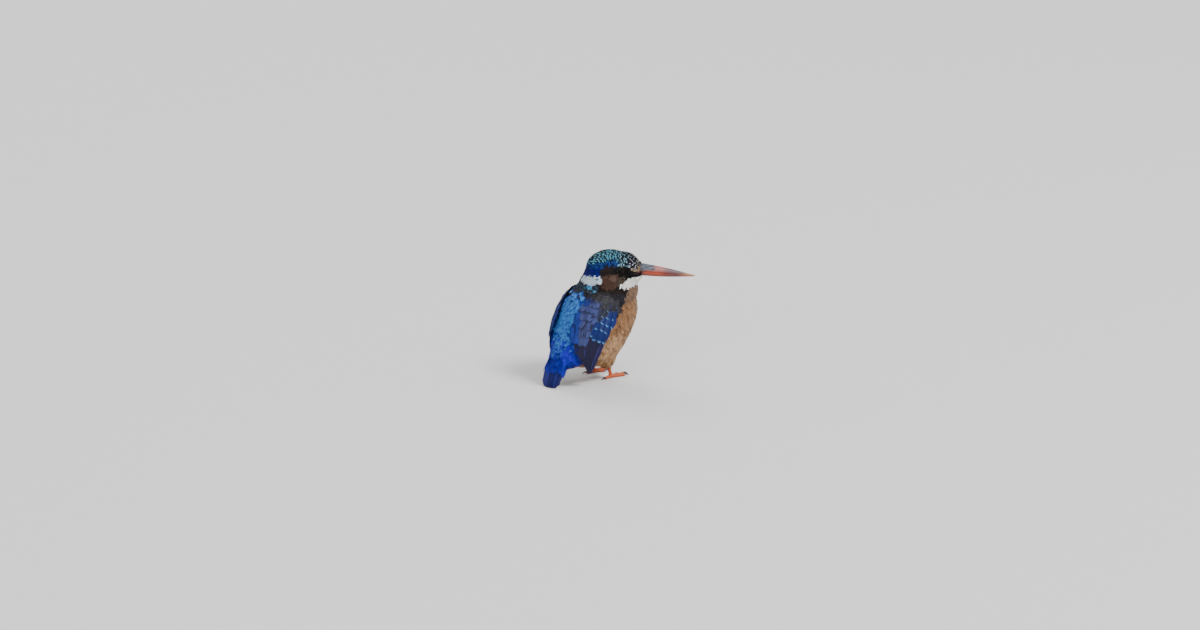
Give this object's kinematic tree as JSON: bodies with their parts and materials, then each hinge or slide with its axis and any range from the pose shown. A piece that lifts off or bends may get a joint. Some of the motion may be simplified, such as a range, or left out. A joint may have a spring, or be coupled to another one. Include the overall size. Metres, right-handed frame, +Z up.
{
  "type": "malachite kingfisher",
  "caption": "Life-size still model of a malachite kingfisher at rest, upright on its feet and tail tip, head turned to its right.",
  "frame": {"origin": "on the ground, under the middle of the bird's box", "axes": "+Z up; the body faces -Y and its left side is +X; the head and bill are turned 40 degrees to the bird's right, towards -X"},
  "size_m": [0.0552, 0.0842, 0.0751],
  "materials": {
    "back_feathers": "soft sheen; azure to ultramarine above, orange-buff below",
    "crown_feathers": "soft sheen; black barred with turquoise, rufous cheek, white throat and neck patch",
    "flight_feathers": "satin; violet blue-black, azure spangles on the coverts",
    "bill": "satin horn; dusky over orange-red",
    "leg_skin": "satin scales",
    "claw": "satin dark horn",
    "eye": "wet gloss, near black"
  },
  "bodies": {
    "root": {"bill_lower": "bill", "bill_upper": "bill", "claw_hind_left": "claw", "claw_hind_right": "claw", "claw_inner_left": "claw", "claw_inner_right": "claw", "claw_middle_left": "claw", "claw_middle_right": "claw", "claw_outer_left": "claw", "claw_outer_right": "claw", "eye_left": "eye", "eye_right": "eye", "foot_left": "leg_skin", "foot_right": "leg_skin", "head": "crown_feathers", "leg_left": "leg_skin", "leg_right": "leg_skin", "neck": "back_feathers", "tail": "flight_feathers", "trunk": "back_feathers", "wing_left": "flight_feathers", "wing_right": "flight_feathers"}
  },
  "joints": []
}
